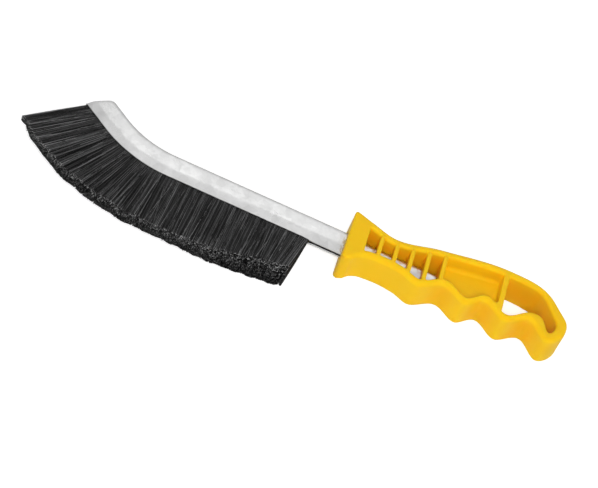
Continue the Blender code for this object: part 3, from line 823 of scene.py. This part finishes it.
class Nodes:
    """Short words for building a node tree."""

    def __init__(self, tree):
        self.tree = tree

    def add(self, kind, inputs=(), **facts):
        """A new node with its facts set and its inputs filled."""
        node = self.tree.nodes.new(kind)
        for name, value in facts.items():
            setattr(node, name, value)
        self.fill(node, inputs)
        return node

    def value(self, kind, output, inputs=(), **facts):
        """The output of a new node."""
        return Value(self, self.add(kind, inputs, **facts).outputs[output])

    def fill(self, node, inputs):
        """Set or link a node's inputs, by their names or numbers."""
        for key, value in dict(inputs).items():
            if isinstance(value, Value):
                self.tree.links.new(value.socket, node.inputs[key])
            else:
                node.inputs[key].default_value = value

    def sockets(self, inputs, output, kind):
        """Make a group's inputs and output, and keep its inputs as they are seen inside."""
        for name, sort in inputs:
            self.tree.interface.new_socket(name, in_out="INPUT", socket_type="NodeSocket" + sort)
        self.tree.interface.new_socket(output, in_out="OUTPUT", socket_type="NodeSocket" + kind)
        source = self.add("NodeGroupInput")
        self.given = {name: Value(self, source.outputs[name]) for name, _ in inputs}
        return self.given

    def math(self, operation, *values):
        return self.value("ShaderNodeMath", 0, enumerate(values), operation=operation)

    def vector(self, operation, *values):
        return self.value("ShaderNodeVectorMath", 0, enumerate(values), operation=operation)

    def ranged(self, value, low, high, first=0.0, last=1.0):
        """From first to last, as the value goes from low to high."""
        return self.value("ShaderNodeMapRange", "Result", {
            "Value": value, "From Min": low, "From Max": high, "To Min": first, "To Max": last})

    def mixed(self, first, second, share):
        inputs = {"A": first, "B": second, "Factor": share}
        return self.value("ShaderNodeMix", "Result", inputs, data_type="RGBA")

    def kept(self, name):
        """A value kept on the points of the mesh."""
        return self.value("ShaderNodeAttribute", "Fac", attribute_name=name)

    def place(self):
        return self.value("ShaderNodeTexCoord", "Object")

    def upright(self, vector):
        return self.value("ShaderNodeSeparateXYZ", "Z", {0: vector})

    def mottle(self, scale, low=0.0, high=1.0):
        inputs = {"Scale": scale, "Low": low, "High": high}
        return self.value("ShaderNodeGroup", "Value", inputs, node_tree=mottle_group())

    def bump(self, height, distance, **below):
        """A normal bent by the height, over another Normal."""
        return self.value("ShaderNodeBump", "Normal", {
            "Strength": 1.0, "Distance": distance, "Height": height, **below})

    def draw(self, name, low, high, strand):
        """A random number for each strand."""
        inputs = {2: low, 3: high, "ID": strand, "Seed": self.given["Seed"] + DRAWS.index(name)}
        return self.value("FunctionNodeRandomValue", 1, inputs, data_type="FLOAT")

    def sample(self, curve, factor, name, kind="FLOAT"):
        """A value kept on a curve's points, at a factor of its length."""
        value = self.value("GeometryNodeInputNamedAttribute", "Attribute", {"Name": name}, data_type=kind)
        inputs = {"Curves": curve, "Factor": factor, "Value": value}
        return self.value("GeometryNodeSampleCurve", "Value", inputs, data_type=kind, mode="FACTOR")


# Materials

def mottle_group():
    """Soft patches over a surface: a value that wanders from Low to High with the place."""
    if "Mottle" in bpy.data.node_groups:
        return bpy.data.node_groups["Mottle"]
    n = Nodes(bpy.data.node_groups.new("Mottle", "ShaderNodeTree"))
    given = n.sockets((("Scale", "Float"), ("Low", "Float"), ("High", "Float")), "Value", "Float")
    noise = n.value("ShaderNodeTexNoise", "Fac", {
        "Vector": n.place(), "Scale": given["Scale"], "Detail": 3.0})
    value = n.ranged(noise, low=0.30, high=0.70, first=given["Low"], last=given["High"])
    n.add("NodeGroupOutput", {"Value": value})
    return n.tree


def shader_of(name):
    """A new material with its nodes and its Principled shader."""
    material = bpy.data.materials.new(name)
    material.use_nodes = True
    return material, Nodes(material.node_tree), material.node_tree.nodes["Principled BSDF"]


def hollow_shade_mask(n, name, thickness):
    """A share kept on the handle's points, on the faces deep inside its hollows alone, that masks the painted
    shade.
    """
    height = n.upright(n.place())
    return n.kept(name) * n.ranged(n.math("MINIMUM", height, thickness - height), SHADE_FROM_DEPTH, SHADE_FULL_DEPTH)


def plastic_material(sizes):
    """Satin plastic with painted shade: a deeper orange in its hollows and grooves, and a darker shade in the
    panel.
    """
    material, n, shader = shader_of("Moulded yellow plastic")
    # Painted shade: deeper orange in the hollows and grooves, and darker walls in the panel
    paint = n.mixed(sizes.colour, sizes.hollow_shade_colour, hollow_shade_mask(n, "deep", sizes.thickness))
    level = n.math("ABSOLUTE", n.upright(n.value("ShaderNodeNewGeometry", "Normal")))
    shade = n.ranged(level, 0.0, 1.0, sizes.panel_shade, sizes.panel_shade * (1.0 - WEB_LIGHT))
    tone = n.mottle(scale=55.0, low=0.97, high=1.03) - hollow_shade_mask(n, "panel", sizes.thickness) * shade
    n.fill(shader, {
        "Base Color": n.vector("MULTIPLY", paint, tone),
        "Roughness": n.mottle(scale=260.0, low=sizes.roughness - 0.05, high=sizes.roughness + 0.05),
        "Normal": n.bump(n.mottle(scale=900.0), distance=0.00003),
        "Specular IOR Level": 0.15,
        "Subsurface Weight": 0.25, "Subsurface Radius": (1.0, 0.30, 0.05), "Subsurface Scale": 0.004})
    return material


def zinc_material(sizes):
    """Galvanised steel: crystals in wandering patches, painted shade on the round back and the ends, with
    grain and dents.
    """
    material, n, shader = shader_of("Galvanised steel")
    patch = 1.0 / sizes.spangle
    crystals = n.value("ShaderNodeTexVoronoi", "Color", {"Vector": n.place(), "Scale": 1.8 * patch})
    tone = n.mottle(scale=patch, low=0.92, high=1.04)
    tone = tone * n.ranged(crystals, low=0.2, high=0.8, first=0.95, last=1.05)
    # Painted shade on the round back, tip and rear end darkens the zinc
    shaded_zinc = n.ranged(n.kept("dull"), 0.0, 1.0, first=1.0, last=sizes.zinc_shade_level)
    dents = n.bump(n.mottle(scale=0.7 * patch), distance=sizes.ripple)
    n.fill(shader, {
        "Base Color": n.vector("MULTIPLY", sizes.colour[:3], tone * shaded_zinc),
        "Roughness": n.mottle(scale=0.6 * patch, low=sizes.roughness - 0.06, high=sizes.roughness + 0.06),
        "Normal": n.bump(n.mottle(scale=9.0 * patch), distance=0.00004, Normal=dents),
        "Metallic": 1.0})
    return material


def wire_material(sizes):
    material, n, shader = shader_of("Drawn wire")
    n.fill(shader, {
        "Base Color": n.vector("MULTIPLY", sizes.colour[:3], n.mottle(scale=700.0, low=0.80, high=1.0)),
        "Roughness": n.mottle(scale=400.0, low=0.25, high=0.42),
        "Metallic": 1.0})
    return material


def nylon_material(sizes):
    """Black filaments, each a little lighter or darker at random, the palest a painted highlight and the
    lowest in painted shade, with paler cut ends.
    """
    material, n, shader = shader_of("Black nylon")
    # Painted highlight on the palest strands and painted shade on the lowest, carried by the kept tone
    tone = n.math("POWER", n.kept("tone"), TONE_CONTRAST)
    strand, tip = (n.vector("MULTIPLY", colour[:3], tone) for colour in (sizes.colour, sizes.tip_colour))
    n.fill(shader, {
        "Base Color": n.mixed(strand, tip, n.ranged(n.kept("share"), CUT_END, 1.0)),
        "Roughness": n.mottle(scale=300.0, low=0.34, high=0.50),
        "Specular IOR Level": 0.1})
    return material


# Filaments in Geometry Nodes

FILAMENT_INPUTS = (
    ("Geometry", "Geometry"), ("Strands", "Int"), ("Radius", "Float"), ("Root half", "Float"),
    ("Jitter", "Float"), ("Sway", "Float"), ("Tuft", "Int"), ("Gather", "Float"), ("Stray share", "Float"),
    ("Seed", "Int"), ("Material", "Material"))


def filament_tree():
    """Strands that stand on the lips' line and fan out to the pack's thickness."""
    if "Filaments" in bpy.data.node_groups:
        return bpy.data.node_groups["Filaments"]
    n = Nodes(bpy.data.node_groups.new("Filaments", "GeometryNodeTree"))
    given = n.sockets(FILAMENT_INPUTS, "Geometry", "Geometry")
    curve = n.value("GeometryNodeMeshToCurve", "Curve", {"Mesh": given["Geometry"]})
    index = n.value("GeometryNodeInputIndex", 0)
    strand = n.math("FLOOR", index / STRAND_POINTS)
    share = (index - strand * STRAND_POINTS) / (STRAND_POINTS - 1)

    # The place of a strand's root, its layer in the pack, and the tuft that it gathers in
    factor = (strand + n.draw("place", 0.0, 1.0, strand)) / given["Strands"]
    layer = n.math("SINE", n.draw("layer", -math.pi / 2.0, math.pi / 2.0, strand))
    upper = layer * 0.5 + 0.5
    tier = n.math("ROUND", layer * TUFT_LAYERS)
    row = (strand + tier * TUFT_SHIFT) / given["Tuft"]
    tuft = n.math("FLOOR", row) + tier * TUFT_COUNT

    # How far up its strand a point is: below 0 inside the lips, 0 at them and about 1 at the tip
    short = n.draw("length", 0.0, 0.5, strand) + n.draw("tuft length", 0.0, 0.5, tuft)
    length = 1.0 - given["Jitter"] * n.math("MAXIMUM", upper, LOWEST_JITTER) * short
    reach = (share * (1.0 + ROOT_DEPTH) - ROOT_DEPTH) * length
    fan = n.math("MAXIMUM", reach, 0.0)
    bow = fan * (1.0 - fan)

    # Across the pack, towards the middle of the tuft
    root_half = given["Root half"]
    half = root_half + fan * (n.sample(curve, factor, "half") - given["Radius"] - root_half)
    depth = layer + given["Gather"] * fan * (tier / TUFT_LAYERS - layer)
    across = depth * half + n.draw("wander", -WANDER, WANDER, strand) * given["Sway"] * bow

    # Along the brush: the swing of tufts, strands and strays, kept clear of the pack's ends
    stray = n.math("LESS_THAN", n.draw("stray", 0.0, 1.0, strand), given["Stray share"])
    swing = n.draw("tuft swing", -SWING, SWING, tuft) + n.draw("swing", -SWING, SWING, strand)
    swing = swing + stray * n.draw("stray swing", -STRAY_SWING, STRAY_SWING, strand)
    line = n.value("GeometryNodeCurveLength", "Length", {"Curve": curve})
    pitch = line * given["Tuft"] / given["Strands"]
    sway = swing * given["Sway"] + (0.5 - n.math("FRACT", row)) * pitch * given["Gather"]
    most = n.sample(curve, factor, "room") * (stray * (STRAY_ROOM - TUFT_ROOM) + TUFT_ROOM)
    sway = n.math("MAXIMUM", n.math("MINIMUM", sway, most), most * -1.0)
    aside = sway * fan + n.draw("curl", -CURL, CURL, strand) * given["Sway"] * bow

    root = {"Curves": curve, "Factor": factor}
    place = n.value("GeometryNodeSampleCurve", "Position", root, mode="FACTOR")
    ahead = n.value("GeometryNodeSampleCurve", "Tangent", root, mode="FACTOR")
    way = n.sample(curve, factor, "way", "FLOAT_VECTOR")
    for vector, amount in ((way, reach), (ahead, aside), ((0.0, 0.0, 1.0), across)):
        place = n.vector("MULTIPLY_ADD", vector, amount, place)

    # Painted shade darkens the lower strands; strays are the palest, a painted highlight; and tufts differ at
    # random
    light = n.math("MINIMUM", upper * SHADE_RISE + LOWEST_SHADE, 1.0)
    light = light * n.draw("tuft tone", TUFT_TONE, 1.0, tuft)
    tone = n.math("MAXIMUM", n.draw("tone", 0.0, 1.0, strand), stray) * light

    dots = n.value("GeometryNodePoints", 0, {
        "Count": given["Strands"] * STRAND_POINTS, "Position": place, "Radius": 1.0})
    for name, value in (("share", share), ("tone", tone)):
        dots = n.value("GeometryNodeStoreNamedAttribute", "Geometry", {
            "Geometry": dots, "Name": name, "Value": value}, data_type="FLOAT", domain="POINT")
    lines = n.value("GeometryNodePointsToCurves", 0, {
        "Points": dots, "Curve Group ID": strand, "Weight": share})
    ring = n.value("GeometryNodeCurvePrimitiveCircle", "Curve", {
        "Resolution": STRAND_SIDES, "Radius": given["Radius"]}, mode="RADIUS")
    tubes = n.value("GeometryNodeCurveToMesh", "Mesh", {
        "Curve": lines, "Profile Curve": ring, "Fill Caps": True})
    whole = n.value("GeometryNodeRealizeInstances", "Geometry", {"Geometry": tubes})
    paint = n.value("GeometryNodeSetMaterial", "Geometry", {"Geometry": whole, "Material": given["Material"]})
    n.add("NodeGroupOutput", {0: paint})
    return n.tree


def set_inputs(modifier, values):
    """Set a modifier's inputs by the identifiers of their sockets."""
    for socket in modifier.node_group.interface.items_tree:
        if socket.item_type == "SOCKET" and socket.in_out == "INPUT" and socket.name in values:
            modifier[socket.identifier] = values[socket.name]


def along_pack(run, at_handle, along, at_tip, handle_reach, tip_reach):
    """A size that changes from the pack's handle end to its middle, and on to its tip."""
    return blend(blend(at_handle, along, off_rear(run, handle_reach)), at_tip, near_tip(run, tip_reach))


def pack_half_at(run):
    """Half the pack's thickness at the filaments' tips."""
    return along_pack(run, PACK_AT_HANDLE, PACK_ALONG, PACK_AT_TIP, HANDLE_TAPER, TIP_TAPER) / 2.0


def length_at(run):
    """Free length of the filaments, cut back at the tip's corner and worn at the rear."""
    length = along_pack(run, LENGTH_AT_HANDLE, LENGTH_ALONG, LENGTH_AT_TIP, HANDLE_TRIM, TIP_TRIM)
    wave = TRIM_WAVE * sum(math.sin(run / reach) for reach in WAVE_LENGTHS)
    worn = REAR_CUT * (1.0 - off_rear(run, REAR_CUT_REACH))
    return (length + wave) * (1.0 - TIP_CUT * near_tip(run, TIP_CUT_REACH) - worn)


def strand_tilt_at(run):
    """Filaments stand square to the channel, lean at the rear end and fan out at the tip."""
    lean = END_LEAN * (1.0 - off_rear(run, LEAN_REACH))
    return path_point(run)[1] + lean + STRAND_FAN * near_tip(run, FAN_REACH)


def lip_line(name, first, last):
    """The line between the lips where a group's filaments stand, with their directions."""
    points, ways, halves, rooms = [], [], [], []
    for run in runs_between(first, last, ROOT_STEP):
        spot = station(run)
        tilt = strand_tilt_at(run)
        points.append(place_on(spot, spot.section.lip_height, 0.0))
        ways.extend(Vector((-math.sin(tilt), -math.cos(tilt), 0.0)) * length_at(run))
        halves.append(pack_half_at(run))
        rooms.append(min(run - BARE_LENGTH, FRONT_RUN - BARE_TIP - run) + CLEARANCE)
    mesh = bpy.data.meshes.new(name)
    mesh.from_pydata(points, [(i, i + 1) for i in range(len(points) - 1)], [])
    mesh.attributes.new("way", "FLOAT_VECTOR", "POINT").data.foreach_set("vector", ways)
    keep_values(mesh, half=halves, room=rooms)
    return mesh


def keep_values(mesh, **values):
    """Keep named values on the mesh's points."""
    for name, numbers in values.items():
        mesh.attributes.new(name, "FLOAT", "POINT").data.foreach_set("value", numbers)


def fold_outline(section, sheet):
    """Outside of the folded filaments: over the wire and down to the lips."""
    room = sheet + CLEARANCE
    half = section.back_half - room
    points = quarter_round(half, section.back_centre, FOLD_SIDES)
    points += [(half, section.bend_height), (section.lip_half - room, section.lip_height + CLEARANCE)]
    return both_flanks(points)


# Steps

class BRUSH_OT_handle(bpy.types.Operator):
    """Make the moulded handle with its windows, panel web and end loop"""

    bl_idname = "brush.handle"
    bl_label = "Handle"

    def execute(self, context):
        sizes = context.scene.brush_handle
        through = through_rings(sizes.thickness)
        mesh = slab("moulded_handle", handle_outline(sizes), body_rings(sizes.thickness))
        body = link(mesh.name, mesh)
        cutters = []
        for i in range(RIB_COUNT):
            bay = bay_outline(sizes, rib_start(i) - BAY_WIDTH, rib_start(i), BAY_CORNER)
            cutters.append(slab("bay_cutter", bay, through))
        cutters.append(slab("loop_cutter", bay_outline(sizes, LOOP_START, None, LOOP_CORNER), through))
        panel = bay_outline(sizes, PANEL_START, PANEL_START + PANEL_LENGTH, PANEL_CORNER)
        cutters += [pocket(sizes, panel, sizes.thickness, 1.0), pocket(sizes, panel, 0.0, -1.0), socket()]
        carve(body, cutters)
        butt = butt_curve(WALL_STEP)
        # Shares of painted shade for the hollows, grooves and panel, kept on the points
        deep, shaded = zip(*(hollow_shade_shares(vertex.co, butt) for vertex in body.data.vertices))
        keep_values(body.data, deep=deep, panel=shaded)
        even_normals(body)
        dress(body, plastic_material(sizes), "handle_plastic", "handle")
        return {"FINISHED"}


def socket():
    """The room that the tang and the collar's end of the channel take in the handle."""
    def outline_of(section):
        low = section.lip_height - CLEARANCE
        return both_flanks(flank(section._replace(lip_height=low), -CLEARANCE, SOCKET_SIDES))

    return sweep("socket_cutter", COLLAR_START - TANG_END - CLEARANCE, COLLAR_END, SOCKET_STEP, outline_of)


class BRUSH_OT_channel(bpy.types.Operator):
    """Make the bent steel channel and its tang"""

    bl_idname = "brush.channel"
    bl_label = "Channel"

    def execute(self, context):
        sizes = context.scene.brush_channel
        rings, shade_values = channel_rings(sizes)
        channel = link("steel_channel", loft("steel_channel", rings))
        # Painted shade kept on the channel's points
        keep_values(channel.data, dull=shade_values)
        even_normals(channel)
        dress(channel, zinc_material(sizes), "channel_steel", "channel")
        return {"FINISHED"}


def channel_rings(sizes):
    """Outlines of the folded sheet along the channel, its tip's edge rounded over, with the painted shade on
    their points.
    """
    last = FRONT_RUN - sizes.tip_round
    stops = [(run, 0.0) for run in runs_between(COLLAR_START - TANG_END, last, CHANNEL_STEP)]
    stops += [(last + sizes.tip_round * math.sin(turn), TIP_WEAR * sizes.sheet * (1.0 - math.cos(turn)))
              for turn in quarter_turns(TIP_RINGS)[1:]]
    rings, shade_values = [], []
    for run, worn in stops:
        spot = station(run)
        outline = sheet_outline(spot.section, sizes.sheet, worn)
        rings.append([place_on(spot, height, across) for across, height in outline])
        # Painted shade over the rounded tip, full at its very end
        end = smooth((run - last + sizes.tip_round) / sizes.tip_round)
        shade_values += [max(shade_on_zinc(spot.section, height, run), end) for _, height in outline]
    return rings, shade_values


class BRUSH_OT_core_wire(bpy.types.Operator):
    """Make the wire that the filaments are folded over"""

    bl_idname = "brush.core_wire"
    bl_label = "Core wire"

    def execute(self, context):
        sizes = context.scene.brush_channel
        turns = [2.0 * math.pi * i / WIRE_SIDES for i in range(WIRE_SIDES)]
        ring = [(sizes.wire_radius * math.sin(turn), sizes.wire_radius * math.cos(turn)) for turn in turns]

        def outline_of(section):
            return [(across, section.back_centre + height) for across, height in ring]

        first, last = BARE_LENGTH + CLEARANCE, FRONT_RUN - CLEARANCE
        wire = link("drawn_wire", sweep("drawn_wire", first, last, WIRE_STEP, outline_of))
        dress(wire, wire_material(sizes), "wire_steel", "core_wire")
        return {"FINISHED"}


class BRUSH_OT_filaments(bpy.types.Operator):
    """Make the groups of filaments that stand in the channel"""

    bl_idname = "brush.filaments"
    bl_label = "Filaments"

    def execute(self, context):
        sizes = context.scene.brush_filaments
        sheet = context.scene.brush_channel.sheet
        material = nylon_material(sizes)
        pitch = (FRONT_RUN - BARE_TIP - BARE_LENGTH) / len(GROUPS)
        for i, node in enumerate(GROUPS):
            first = BARE_LENGTH + i * pitch
            group = link("strands_%d" % (i + 1), lip_line("lip_line", first, first + pitch))
            modifier = group.modifiers.new("Filaments", "NODES")
            modifier.node_group = filament_tree()
            set_inputs(modifier, {
                "Strands": sizes.strands, "Radius": sizes.radius,
                "Root half": FILLED.lip_half - sheet - sizes.radius, "Jitter": sizes.jitter,
                "Sway": sizes.sway, "Tuft": sizes.tuft, "Gather": sizes.gather,
                "Stray share": sizes.stray_share, "Seed": sizes.seed + SEED_STEP * i, "Material": material})
            strands = baked(group, group.name)
            group.modifiers.clear()
            group.data = with_fold(strands, first, first + pitch, sheet)
            dress(group, material, "filament_nylon", node)
        return {"FINISHED"}


def with_fold(strands, first, last, sheet):
    """The strands of a group with the folded part inside the channel."""
    fold = sweep("fold", first, last, FOLD_STEP, lambda section: fold_outline(section, sheet))
    shape = bmesh.new()
    shape.from_mesh(strands)
    shape.from_mesh(fold)
    shape.to_mesh(strands)
    shape.free()
    bpy.data.meshes.remove(fold)
    return strands


class BRUSH_OT_stage(bpy.types.Operator):
    """Make the floor, the lamps and the camera"""

    bl_idname = "brush.stage"
    bl_label = "Stage"

    def execute(self, context):
        sizes = context.scene.brush_stage
        make_floor(sizes)
        make_world(sizes)
        for name, place, size, power, mirrored in LAMPS:
            add_lamp(name, place, size, getattr(sizes, power), mirrored)
        add_camera(sizes)
        context.scene.view_settings.view_transform = "Standard"
        return {"FINISHED"}


def camera_rays(n, mirrored):
    """1 for what the camera sees straight, and a share of it mirrored or through glass."""
    straight, glossy, through = (n.value("ShaderNodeLightPath", "Is %s Ray" % kind)
                                 for kind in ("Camera", "Glossy", "Transmission"))
    return straight + (glossy + through) * mirrored


def make_floor(sizes):
    """A pale floor that is white where the light is full and keeps the shadow."""
    half = sizes.floor_size / 2.0
    corners = [(x, y, FLOOR_LEVEL) for x, y in ((-half, -half), (half, -half), (half, half), (-half, half))]
    floor = link("floor", mesh_from("floor", corners, [(0, 1, 2, 3)]))
    material, n, shader = shader_of("Pale floor")
    n.fill(shader, {
        "Base Color": sizes.floor_colour, "Roughness": 0.9, "Specular IOR Level": 0.1,
        "Emission Color": WHITE,
        "Emission Strength": camera_rays(n, 0.2) * sizes.floor_glow})
    behind = n.value("ShaderNodeNewGeometry", "Backfacing")
    clear = n.value("ShaderNodeBsdfTransparent", "BSDF")
    shown = n.value("ShaderNodeMixShader", 0, {"Fac": behind, 1: Value(n, shader.outputs["BSDF"]), 2: clear})
    n.fill(n.tree.nodes["Material Output"], {"Surface": shown})
    floor.data.materials.append(material)


def make_world(sizes):
    """Even light, and plain white where the camera looks past the floor."""
    world = bpy.data.worlds.new("Studio")
    bpy.context.scene.world = world
    world.use_nodes = True
    n = Nodes(world.node_tree)
    strength = n.ranged(camera_rays(n, 1.0), 0.0, 1.0, sizes.world_strength, 1.0)
    n.fill(world.node_tree.nodes["Background"], {"Color": WHITE, "Strength": strength})


def add_lamp(name, place, size, power, mirrored):
    """A round soft lamp that shines on the middle of the brush, mirrored in the steel or not."""
    lamp = bpy.data.lights.new(name, "AREA")
    lamp.shape = "DISK"
    lamp.size = size
    lamp.energy = power
    item = bpy.data.objects.new(name, lamp)
    item.location = place
    item.rotation_euler = (LAMP_TARGET - Vector(place)).to_track_quat("-Z", "Y").to_euler()
    item.visible_camera = False
    item.visible_glossy = mirrored
    bpy.context.scene.collection.objects.link(item)


def add_camera(sizes):
    """The camera looks down along +Y and is turned about its line of sight."""
    lens = bpy.data.cameras.new("Camera")
    lens.lens = sizes.lens
    lens.sensor_width = 36.0
    lens.clip_start = 0.05
    lens.clip_end = 50.0
    camera = bpy.data.objects.new("Camera", lens)
    turn = Matrix.Rotation(math.pi / 2.0 - sizes.elevation, 4, "X") @ Matrix.Rotation(sizes.roll, 4, "Z")
    back = Matrix.Translation((0.0, 0.0, sizes.distance))
    camera.matrix_world = Matrix.Translation(sizes.target) @ turn @ back
    bpy.context.scene.collection.objects.link(camera)
    bpy.context.scene.camera = camera


class BRUSH_PT_panel(bpy.types.Panel):
    """Settings and steps of the strip brush"""

    bl_idname = "BRUSH_PT_panel"
    bl_label = "Strip brush"
    bl_space_type = "VIEW_3D"
    bl_region_type = "UI"
    bl_category = "Strip brush"

    def draw(self, context):
        scene = context.scene
        for settings, steps in ((scene.brush_handle, ("brush.handle",)),
                                (scene.brush_channel, ("brush.channel", "brush.core_wire")),
                                (scene.brush_filaments, ("brush.filaments",)),
                                (scene.brush_stage, ("brush.stage",))):
            box = self.layout.box()
            for name in settings.__annotations__:
                box.prop(settings, name)
            for step in steps:
                box.operator(step)


SETTINGS = {"brush_handle": HandleSettings, "brush_channel": ChannelSettings,
            "brush_filaments": FilamentSettings, "brush_stage": StageSettings}
CLASSES = (*SETTINGS.values(), BRUSH_OT_handle, BRUSH_OT_channel, BRUSH_OT_core_wire, BRUSH_OT_filaments,
           BRUSH_OT_stage, BRUSH_PT_panel)


def register():
    for item in CLASSES:
        bpy.utils.register_class(item)
    for name, settings in SETTINGS.items():
        setattr(bpy.types.Scene, name, bpy.props.PointerProperty(type=settings))


def unregister():
    for name in SETTINGS:
        delattr(bpy.types.Scene, name)
    for item in reversed(CLASSES):
        bpy.utils.unregister_class(item)


def main():
    register()
    bpy.ops.brush.handle()
    bpy.ops.brush.channel()
    bpy.ops.brush.core_wire()
    bpy.ops.brush.filaments()
    bpy.ops.brush.stage()


if __name__ == "__main__":
    main()
